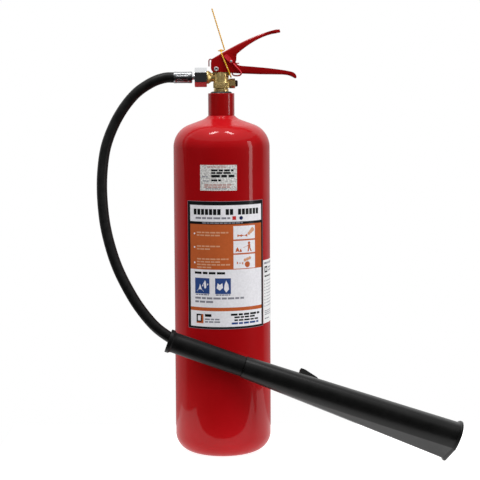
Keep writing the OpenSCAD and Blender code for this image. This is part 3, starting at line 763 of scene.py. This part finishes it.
def on_valve(route):
    return [Vector((x * MM, y * MM, VALVE_Z + z * MM)) for x, y, z in route]


def add_box(bm, low, high):
    result = bmesh.ops.create_cube(bm, size=1)
    centre = (Vector(low) + Vector(high)) / 2
    for v in result["verts"]:
        v.co = Vector(c * (h - l) for c, h, l in zip(v.co, high, low)) + centre


def bevelled(bm, width):
    edges = [e for e in bm.edges if e.calc_face_angle(0) > math.radians(50)]
    bmesh.ops.bevel(bm, geom=edges, offset=width, segments=3, profile=0.5, affect="EDGES")


def strap():
    bm = bmesh.new()
    add_box(bm, *on_valve([(17, 13.5, 46), (28.6, 15.3, 47.8)]))
    bevelled(bm, 0.5 * MM)
    tube_mesh(bm, spline_points(on_valve(STRAP_ROUTE), 6), 1.25 * MM, 12)
    ring = [PIN_AT + Vector((3.0 * MM * math.cos(a), 14.4 * MM, 3.0 * MM * math.sin(a)))
            for a in (2 * math.pi * k / 40 for k in range(41))]
    tube_mesh(bm, ring, 0.85 * MM, 10)
    piece = bmesh_piece("pin_retaining_strap", bm, ["red_plastic"])
    finish_piece(piece, "pin_strap")


def beads(bm, points, pitch, radius):
    """A string of beads along a smooth route."""
    travelled, next_bead = 0.0, pitch / 2
    for a, b in zip(points, points[1:]):
        step = (b - a).length
        while next_bead <= travelled + step:
            place = a.lerp(b, (next_bead - travelled) / step)
            bmesh.ops.create_uvsphere(bm, u_segments=12, v_segments=8, radius=radius,
                                      matrix=Matrix.Translation(place))
            next_bead += pitch
        travelled += step


def seal():
    bm = bmesh.new()
    add_box(bm, *on_valve([(-1.8, -9, 64.9), (2.4, -3.6, 68.5)]))
    add_box(bm, *on_valve([(-4.6, -8, 65.6), (-1.2, -6.4, 67.2)]))
    bevelled(bm, 0.4 * MM)
    loop, tail = (spline_points(on_valve(route), 8) for route in (TIE_LOOP, TIE_TAIL))
    tube_mesh(bm, loop, 0.9 * MM, 10)
    tube_mesh(bm, tail, 0.9 * MM, 10)
    beads(bm, loop, 2.8 * MM, 1.25 * MM)
    beads(bm, tail, 2.8 * MM, 1.25 * MM)
    finish_piece(bmesh_piece("beaded_seal_tie", bm, ["yellow"]), "seal_tie")


# ---------- grip and horn ----------

def grip():
    r, bore, mouth, flange = 15.75, 12.5, 15.4, 18
    end, steps = GRIP_LEN / MM, 16
    outside = section_mm([
        (mouth, 0.6), (mouth + 0.6, 0, 0.4), (flange, 0, 2), (flange, 5.6, 1.6),
        (r + 0.5, 7, 1.5), (r - 0.1, 9)
    ], 0.4)
    taper = [((r + 0.3 * math.sin(math.pi * i / steps) - 0.2) * MM, (8 + (end - 10) * i / steps) * MM)
             for i in range(1, steps)]
    tail = section_mm([(r - 0.2, end - 3), (r - 0.2, end - 0.2, 0.8), (6, end - 0.2), (6, end - 8),
                       (bore, end - 8), (bore, 19)], 0.4)

    def seam(radius, h, angle):
        """A faint mould line along the outside."""
        outer = radius > 15 * MM and h > 9 * MM
        return radius + (0.12 * MM * math.exp(-((math.sin(angle) / 0.012) ** 2)) if outer else 0)

    piece = lathe("hand_grip_tube", outside + taper + tail, HORN_START, HORN_AXIS, ["grip"], 144, seam,
                  closed=True)
    finish_piece(piece, "horn_grip")


SMALL_R = 16.8 * MM
MAJOR, MINOR = 44 * MM, 25.8 * MM
FACET_DIST, FACET_FROM = 22.2 * MM, 0.22
FACET_TURN = math.radians(53.3)
MOUTH_DROP = 2.4 * MM
HORN_WALL = 2.4 * MM
LIP = 3 * MM
RING_POINTS, FACET_POINTS = 168, 40


def horn_section(u, out):
    """Points of the horn's section at share u of its length: an ellipse with a flat facet, grown by out."""
    a = SMALL_R + (MAJOR - SMALL_R) * u + out
    b = SMALL_R + (MINOR - SMALL_R) * u + out
    half_mouth = MAJOR * math.sqrt(1 - (FACET_DIST / MINOR) ** 2)
    w = max(0.6 * MM, half_mouth * (u - FACET_FROM) / (1 - FACET_FROM)) + out * 0.5
    edge = math.asin(w / a)
    y = b * math.cos(edge)
    rest = RING_POINTS - FACET_POINTS
    points = [(w - 2 * w * k / FACET_POINTS, y) for k in range(FACET_POINTS)]
    for k in range(rest):
        t = 2 * math.pi - edge - (2 * math.pi - 2 * edge) * k / rest
        points.append((a * math.sin(t), b * math.cos(t)))
    return points


def horn_ring(u, out):
    """The section at share u of the horn's length, in place."""
    cos, sin = math.cos(FACET_TURN - math.pi), math.sin(FACET_TURN - math.pi)
    centre = HORN_START + HORN_AXIS * (GRIP_LEN + HORN_LEN * u) + HORN_DOWN * MOUTH_DROP * u
    return [centre + HORN_DOWN * (x * cos - y * sin) + Vector((0, x * sin + y * cos, 0))
            for x, y in horn_section(u, out)]


def horn():
    steps = 72
    lip_len = 5 * MM / HORN_LEN
    rings = [(u, 0.0) for u in (i * (1 - lip_len) / steps for i in range(steps + 1))]
    # rolled rim: out, round and back in
    rim = [(0.00, 0.06), (0.10, 0.35), (0.22, 0.75), (0.40, 0.97), (0.60, 1.0), (0.78, 0.93), (0.92, 0.7),
           (1.0, 0.35)]
    rings += [(1 - lip_len * (1 - t), LIP * grow) for t, grow in rim]
    rings += [(1.0, -HORN_WALL * 0.55), (1 - 0.25 * lip_len, -HORN_WALL * 0.9)]
    socket = 4 * MM / HORN_LEN
    rings += [(socket + (1 - lip_len - socket) * (steps - i) / steps, -HORN_WALL) for i in range(steps + 1)]
    verts = [v for u, out in rings for v in horn_ring(u, out)]
    n, count = RING_POINTS, len(rings)
    faces, inside = [], []
    for i in range(count - 1):
        faces += band(range(i * n, (i + 1) * n), range((i + 1) * n, (i + 2) * n))
        inside += [i > steps + len(rim)] * n
    # the socket's floor and the end face, each closed round the nozzle's hole
    hole_r = 6.2 * MM
    holes = []
    for s, ring_start in ((GRIP_LEN + 4 * MM, (count - 1) * n), (GRIP_LEN, 0)):
        centre = HORN_START + HORN_AXIS * s
        ring = [centre + (verts[ring_start + k] - centre).normalized() * hole_r for k in range(n)]
        holes.append(len(verts))
        verts += ring
    for first, second in (((count - 1) * n, holes[0]), (holes[0], holes[1]), (holes[1], 0)):
        faces += band(range(first, first + n), range(second, second + n))
        inside += [second != 0] * n
    mesh = bpy.data.meshes.new("gas_horn")
    mesh.from_pydata([tuple(v) for v in verts], [], faces)
    for polygon, dark in zip(mesh.polygons, inside):
        polygon.material_index = 1 if dark else 0
    bm = bmesh.new()
    bm.from_mesh(mesh)
    bmesh.ops.recalc_face_normals(bm, faces=bm.faces)
    smooth_shade(bm, 24)
    lug(bm)
    bm.to_mesh(mesh)
    bm.free()
    piece = new_object("gas_horn", mesh, ["horn", "horn_inside"])
    finish_piece(piece, "discharge_horn")


def lug(bm):
    """Bracket hook on the horn's far side, with rounded edges."""
    turn = math.radians(30)
    outline = rounded([(84, -17), (84, -27, 1), (91, -27, 2), (112, -21.5, 1.5), (117, -17.5)], 1, 4)
    up = Vector((0, math.sin(turn), 0)) - HORN_DOWN * math.cos(turn)
    across = HORN_AXIS.cross(up).normalized()
    half = 4.5 * MM
    rows = []
    for side in (-1, 1):
        foot = HORN_START + HORN_AXIS * GRIP_LEN + across * half * side
        rows.append([bm.verts.new(foot + (HORN_AXIS * p.x - up * p.y) * MM) for p in outline])
    made = [bm.faces.new(rows[0]), bm.faces.new(rows[1][::-1])]
    for quad in band(rows[1], rows[0]):
        bm.faces.new(quad)
    edges = list({e for f in made[:2] for e in f.edges})
    bmesh.ops.bevel(bm, geom=edges, offset=0.7 * MM, segments=3, profile=0.5, affect="EDGES")


# ---------- labels ----------

class Label:
    """A film on the cylinder, ruled into cells so that each printed area is its own faces.

    Places and sizes are in millimetres of film, from the lower left corner as seen from outside. A share
    runs over the film's height, or over its width between the left and right margins."""

    def __init__(self, node, left=0.0, right=0.0):
        mesh = frame["nodes"][node].data
        angles = [math.atan2(v.co.x, -v.co.y) for v in mesh.vertices]
        low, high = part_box(node)
        self.start, self.stop = min(angles), max(angles)
        self.foot = low.z
        self.width = (self.stop - self.start) * CYL_R / MM
        self.height = (high.z - low.z) / MM
        self.left, self.inner = left, self.width - right - left
        self.areas = []
        self.dots = []
        self.inks = []

    def ink(self, name):
        """The place of an ink in the film's list, where it is added at its first use."""
        if name not in self.inks:
            self.inks.append(name)
        return self.inks.index(name)

    def area(self, x0, y0, x1, y1, material):
        self.areas.append((x0, y0, x1, y1, self.ink(material)))

    def shape(self, points, material):
        self.dots.append((points, self.ink(material)))

    def dot(self, x, y, r, material, sides=20):
        self.shape([(x + r * math.cos(2 * math.pi * k / sides), y + r * math.sin(2 * math.pi * k / sides))
                    for k in range(sides)], material)

    def across(self, share):
        return self.left + self.inner * share

    def rows(self, rows):
        """Bars from a list of x, y and widths as shares, then the height, gap and ink."""
        for x, y, widths, height, gap, material in rows:
            widths = [self.inner * v for v in widths]
            self.bars(self.across(x), self.height * y, widths, height, gap, material)

    def bars(self, x, y, widths, height, gap, material):
        """Rows of broken bars that stand for lines of print, from the top down."""
        for row, width in enumerate(widths):
            top = y - row * (height + gap)
            left, k = x, row
            while left < x + width - height:
                word = min(x + width - left, height * (2.2 + 1.9 * ((k * 7 + 3) % 5) / 5))
                self.area(left, top - height, left + word, top, material)
                left += word + height * 0.55
                k += 1

    def place(self, x, y, lift):
        angle = self.start + x * MM / CYL_R
        r = CYL_R + lift
        return Vector((r * math.sin(angle), -r * math.cos(angle), self.foot + y * MM))

    def build(self, name, node, slot_name):
        step = 2.0
        xs = {0.0, self.width} | {i * step for i in range(1, int(self.width / step) + 1)}
        ys = {0.0, self.height} | {i * 12.0 for i in range(1, int(self.height / 12) + 1)}
        for x0, y0, x1, y1, _ in self.areas:
            xs |= {min(max(x, 0.0), self.width) for x in (x0, x1)}
            ys |= {min(max(y, 0.0), self.height) for y in (y0, y1)}
        thin = lambda values: [v for i, v in enumerate(values) if i == 0 or v - values[i - 1] > 1e-6]
        xs, ys = thin(sorted(xs)), thin(sorted(ys))
        top = 0.22 * MM
        bm = bmesh.new()
        grid = [[bm.verts.new(self.place(x, y, top)) for x in xs] for y in ys]
        for j in range(len(ys) - 1):
            middle_y = (ys[j] + ys[j + 1]) / 2
            row = [a for a in self.areas if a[1] < middle_y < a[3]]
            for i in range(len(xs) - 1):
                middle_x = (xs[i] + xs[i + 1]) / 2
                face = bm.faces.new((grid[j][i], grid[j][i + 1], grid[j + 1][i + 1], grid[j + 1][i]))
                for x0, _, x1, _, index in row:
                    if x0 < middle_x < x1:
                        face.material_index = index
        bmesh.ops.dissolve_limit(bm, angle_limit=math.radians(0.05), verts=bm.verts, edges=bm.edges,
                                 delimit={"MATERIAL"})
        self.close(bm)
        for points, index in self.dots:
            self.sticker(bm, points, index)
        obj = bmesh_piece(name, bm, self.inks, 50)
        finish_piece(obj, node)

    def close(self, bm):
        """Gives the film its edge and back, so that it is a closed skin."""
        rim = [e for e in bm.edges if e.is_boundary]
        back = bmesh.ops.extrude_edge_only(bm, edges=rim)
        lower = [v for v in back["geom"] if isinstance(v, bmesh.types.BMVert)]
        for v in lower:
            flat = Vector((v.co.x, v.co.y, 0)).normalized() * (CYL_R + 0.02 * MM)
            v.co.x, v.co.y = flat.x, flat.y
        for f in bm.faces:
            if all(v in lower or v.is_boundary for v in f.verts):
                f.material_index = 0

    def sticker(self, bm, points, index):
        lift = 0.26 * MM
        centre = (sum(p[0] for p in points) / len(points), sum(p[1] for p in points) / len(points))
        middle = bm.verts.new(self.place(*centre, lift))
        rim = [bm.verts.new(self.place(*p, lift)) for p in points]
        foot = [bm.verts.new(self.place(*p, lift - 0.06 * MM)) for p in points]
        for k in range(len(rim)):
            m = (k + 1) % len(rim)
            for corners in ((middle, rim[k], rim[m]), (rim[k], foot[k], foot[m], rim[m])):
                bm.faces.new(corners).material_index = index


def pictogram(label, x, y, w, h, kind):
    """A pale box with a generic picture: a horn and a cloud, a base of a fire, or a squeezed handle."""
    label.area(x, y, x + w, y + h, "film_pale")
    sx, sy = w / 36, h / 22
    shape = lambda pts, ink="ink_orange": label.shape([(x + px * sx, y + py * sy) for px, py in pts], ink)
    if kind == 0:
        shape([(6, 4), (13, 4), (13, 8), (6, 8)])
        shape([(13, 5), (22, 3.6), (22, 8.4), (13, 7)])
        for k in range(3):
            label.dot(x + (25 + 3 * k) * sx, y + (9 + 3 * k) * sy, (2.4 + 0.5 * k) * sx, "ink_peach", 14)
    elif kind == 1:
        shape([(3, 2), (9, 2), (8, 7), (6, 11), (4, 7)])
        shape([(9, 2), (13, 2), (12.4, 5), (11, 8), (9.6, 5)])
        label.dot(x + 25 * sx, y + 17.4 * sy, 2.1 * sx, "ink_orange", 14)
        shape([(23, 8), (27.4, 8), (27, 15), (23.6, 15)])
        shape([(22.4, 2), (24.6, 2), (25.2, 8.4), (23, 8.4)])
        shape([(27.6, 2), (30, 2), (27.4, 8.4), (25.4, 8.4)])
        shape([(15.5, 9), (23.4, 12.2), (23.4, 13.6), (15.5, 10)])
    else:
        shape([(5, 7), (15, 6), (15, 10), (5, 11)])
        label.dot(x + 22 * sx, y + 6 * sy, 4.4 * sx, "ink_orange", 18)
        for k in range(3):
            label.dot(x + (18 + 4 * k) * sx, y + (13 + 1.4 * k) * sy, 2.4 * sx, "ink_peach", 14)


def main_label():
    label = Label("main_label", left=5.3, right=4.6)
    w, h, inner, across = label.width, label.height, label.inner, label.across
    label.ink("film_pale")
    black = "ink_black"
    label.area(0, 0, w, h, "ink_grey")
    label.area(0.5, 0.5, w - 0.5, h - 0.5, black)
    # panels from the top down
    for low, high, ink in ((0.841, 0.969, "film_pale"), (0.467, 0.820, "ink_orange"),
                           (0.170, 0.467, "film_pale"), (0.142, 0.170, "ink_orange"),
                           (0.018, 0.142, "film_pale")):
        label.area(across(0), h * low, across(1), h * high, ink)
    # title: one row of blocks and a thin one, with a red square and a blue dot
    for k in range(17):
        if k not in (7, 10):
            label.area(across(0.058 + 0.0525 * k), h * 0.894, across(0.100 + 0.0525 * k), h * 0.940, black)
    label.rows([(0.085, 0.876, [0.45], 2.9, 1, "ink_grey"), (0.18, 0.836, [0.52], 1.9, 1, "ink_grey")])
    label.area(across(0.562), h * 0.854, across(0.610), h * 0.883, "ink_red")
    label.dot(across(0.677), h * 0.868, 3, "ink_navy")
    # three steps, each with a bullet, some lines and a picture
    for y, top, lines in ((0.746, 0.762, (0.41, 0.33)), (0.640, 0.655, (0.32, 0.2)),
                          (0.519, 0.555, (0.41, 0.33, 0.43, 0.21))):
        label.dot(across(0.066), h * y, 1.4, "film_pale")
        label.rows([(0.10, top, lines, 2.2, 2.1, "ink_peach")])
    for kind, low, high in ((0, 0.702, 0.806), (1, 0.594, 0.690), (2, 0.473, 0.582)):
        pictogram(label, across(0.574), h * low, inner * 0.307, h * (high - low), kind)
    # uses: a heading, two blue squares with pale marks, and two lines
    label.rows([(0.066, 0.449, [0.40], 3.6, 1, black)])
    side = inner * 0.198
    for x, flame in ((across(0.07), True), (across(0.34), False)):
        y = h * 0.277
        label.area(x, y, x + side, y + side, "ink_blue")
        label.bars(x + 1, y - 0.8, [side - 2], 1.4, 1, "ink_navy")
        mark = lambda *points: label.shape([(x + side * px, y + side * py) for px, py in points], "film_pale")
        if flame:
            mark((0.12, 0.14), (0.62, 0.14), (0.5, 0.26), (0.36, 0.62), (0.28, 0.34))
            mark((0.5, 0.5), (0.72, 0.32), (0.93, 0.62), (0.7, 0.86))
        else:
            mark((0.1, 0.36), (0.3, 0.22), (0.5, 0.4), (0.46, 0.7), (0.3, 0.58), (0.16, 0.7))
            mark((0.56, 0.3), (0.7, 0.1), (0.88, 0.3), (0.84, 0.6), (0.7, 0.86), (0.6, 0.6))
    label.rows([(0.07, 0.250, [0.64, 0.26], 3.0, 2.7, "ink_grey")])
    # foot: a plain square mark, its lines, and an address block
    x, y = across(0.087), h * 0.044
    label.area(x, y, x + inner * 0.098, y + 14.4, "ink_orange")
    label.area(x, y + 2, x + inner * 0.075, y + 14.4, black)
    label.area(x + 2.4, y + 4, x + inner * 0.06, y + 12, "film_pale")
    label.bars(across(0.205), h * 0.118, [10.5], 4.2, 1, black)
    label.bars(across(0.205), h * 0.083, [24, 24], 2.4, 1.6, "ink_grey")
    label.rows([(0.535, 0.121, [0.42], 3.2, 1, black), (0.58, 0.098, [0.31, 0.35], 2.6, 1.9, black),
                (0.545, 0.052, [0.39], 3.0, 1, "ink_blue")])
    label.build("front_label", "main_label", "label_print")


def serial_label():
    label = Label("serial_label")
    label.area(0, 0, label.width, label.height, "film_silver")
    label.rows([
        (0.20, 0.94, [0.50], 1.5, 1, "ink_rose"), (0.31, 0.83, [0.60, 0.54], 3.0, 1, "ink_black"),
        (0.31, 0.62, [0.62], 4.0, 1, "ink_black"), (0.05, 0.56, [0.18], 1.6, 1, "ink_grey"),
        (0.31, 0.44, [0.26], 2.8, 1, "ink_black"), (0.08, 0.40, [0.16], 1.6, 1, "ink_grey"),
        (0.12, 0.25, [0.74, 0.70], 2.0, 1.3, "ink_rose"), (0.16, 0.09, [0.60], 1.4, 1, "ink_grey"),
    ])
    label.build("silver_label", "serial_label", "label_silver")


def side_label():
    label = Label("side_label")
    w, h = label.width, label.height
    label.area(0, 0, w, h, "film_white")
    label.rows([(0.05, 0.965, [0.86], 3.0, 1, "ink_grey")])
    label.area(w * 0.07, h * 0.80, w * 0.24, h * 0.90, "ink_black")
    label.area(w * 0.11, h * 0.825, w * 0.20, h * 0.875, "film_white")
    label.rows([(0.30, 0.885, [0.6, 0.5], 2.4, 2.0, "ink_grey"), (0.07, 0.755, [0.5], 2.4, 1, "ink_black")])
    for row in range(9):
        y = h * (0.66 - 0.05 * row)
        label.area(w * 0.07, y, w * 0.10, y + 1.8, "ink_black")
        label.bars(w * 0.18, y + 1.6, [w * (0.72 - 0.1 * ((row * 3) % 4) / 4)], 1.2, 1, "ink_grey")
    label.rows([(0.07, 0.20, [0.8, 0.84, 0.6], 1.4, 1.5, "ink_grey"),
                (0.07, 0.08, [0.3], 1.8, 1, "ink_grey")])
    label.build("side_film", "side_label", "label_white")


# ---------- inner nodes that keep their CAD shape ----------

CAD_LOOKS = {
    "siphon_tube": "steel", "spring_plug": "brass", "poppet": "brass",
    "poppet_seat": "seal", "stem": "steel", "stem_oring": "seal", "burst_disc": "copper",
    "outlet_washer": "washer", "gas_nozzle": "brass", "horn_nut": "brass",
}


def valve_spring():
    """The valve's coil spring, whose foot sits on the plug: a copy of its CAD node's mesh, given a mesh of
    its own.
    """
    mesh = frame["nodes"]["valve_spring"].data.copy()
    mesh.materials.clear()
    piece = new_object("coil_spring", mesh, ["steel"])
    finish_piece(piece, "valve_spring")
    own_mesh(piece)


def keep_cad():
    for node, look in CAD_LOOKS.items():
        data = frame["nodes"][node].data
        data.materials.clear()
        data.materials.append(M[look])


# ---------- studio ----------

def area_light(name, place, aim, width, height, power):
    data = bpy.data.lights.new(name, "AREA")
    data.shape = "RECTANGLE"
    data.size, data.size_y = width, height
    data.energy = power
    obj = placed(name, data)
    obj.location = place
    obj.rotation_euler = (Vector(aim) - Vector(place)).to_track_quat("-Z", "Y").to_euler()


def soft_sun(name, power, spread, tilt=0, turn=0):
    """A very soft sun, tilted from overhead to the front and turned left or right, in degrees."""
    sun = bpy.data.lights.new(name, "SUN")
    sun.energy = power
    sun.angle = math.radians(spread)
    obj = placed(name, sun)
    obj.location = (0, 0, 3)
    obj.rotation_euler = (math.radians(tilt), 0, math.radians(turn))
    return obj


def white_sweep():
    """World with a white sweep behind the object, dim in front and overhead.

    What the camera sees of it directly is always white."""
    world = bpy.data.worlds.new("studio")
    bpy.context.scene.world = world
    world.use_nodes = True
    nodes, links = world.node_tree.nodes, world.node_tree.links

    def shaped(value, start, stop, low, high):
        node = nodes.new("ShaderNodeMapRange")
        links.new(value, node.inputs["Value"])
        for key, number in (("From Min", start), ("From Max", stop), ("To Min", low), ("To Max", high)):
            node.inputs[key].default_value = number
        return node.outputs["Result"]

    def joined(operation, a, b):
        node = nodes.new("ShaderNodeMath")
        node.operation = operation
        links.new(a, node.inputs[0])
        links.new(b, node.inputs[1])
        return node.outputs["Value"]

    direction = nodes.new("ShaderNodeTexCoord").outputs["Generated"]
    behind = nodes.new("ShaderNodeVectorMath")
    behind.operation = "DOT_PRODUCT"
    links.new(direction, behind.inputs[0])
    behind.inputs[1].default_value = (-0.18, 1, 0)
    parts = nodes.new("ShaderNodeSeparateXYZ")
    links.new(direction, parts.inputs["Vector"])
    height = joined("MULTIPLY", shaped(parts.outputs["Z"], -0.2, 0.5, 0.55, 1.7),
                    shaped(parts.outputs["Z"], 0.54, 0.70, 1, 0.2))
    sweep = joined("MULTIPLY", shaped(behind.outputs["Value"], 0.24, 0.40, 0.04, 0.85), height)
    seen = nodes.new("ShaderNodeLightPath").outputs["Is Camera Ray"]
    background = nodes["Background"]
    background.inputs["Color"].default_value = (1, 1, 1, 1)
    links.new(joined("MAXIMUM", seen, sweep), background.inputs["Strength"])


def studio():
    bpy.context.scene.view_settings.view_transform = "Standard"
    white_sweep()
    left, right, front, back = -0.36, 0.52, -0.19, 0.15
    corners = [(left, front, 0), (right, front, 0), (right, back, 0), (left, back, 0)]
    floor_mesh = bpy.data.meshes.new("studio_floor")
    floor_mesh.from_pydata(corners, [], [(0, 1, 2, 3)])
    M["floor"] = Tree("studio_floor", (0.5, 0.5, 0.5), 0.9, Specular_IOR_Level=0.0,
                      Emission_Color=(1, 1, 1, 1), Emission_Strength=0.9).material
    new_object("studio_floor", floor_mesh, ["floor"])
    soft_sun("ceiling", 1.8, 110)
    soft_sun("left_fill", 1.0, 60, 62, -50).visible_glossy = False
    soft_sun("right_fill", 1.25, 60, 62, 50).visible_glossy = False
    for name, x in (("top_left", -0.40), ("top_right", 0.40)):
        area_light(name, (x, -0.30, 2.2), (0, 0, 0.5), 0.24, 0.5, 12)
    area_light("right_strip", (2.0, -0.62, 0.7), (0, 0, 0.4), 0.36, 1.6, 12)


for build in (pressure_cylinder, neck_ring, neck_seal, valve, swivel_nut, hose_ends, handles, pivot_rivet,
              pin, strap, seal, grip, horn, main_label, serial_label, side_label, valve_spring, keep_cad):
    build()
studio()
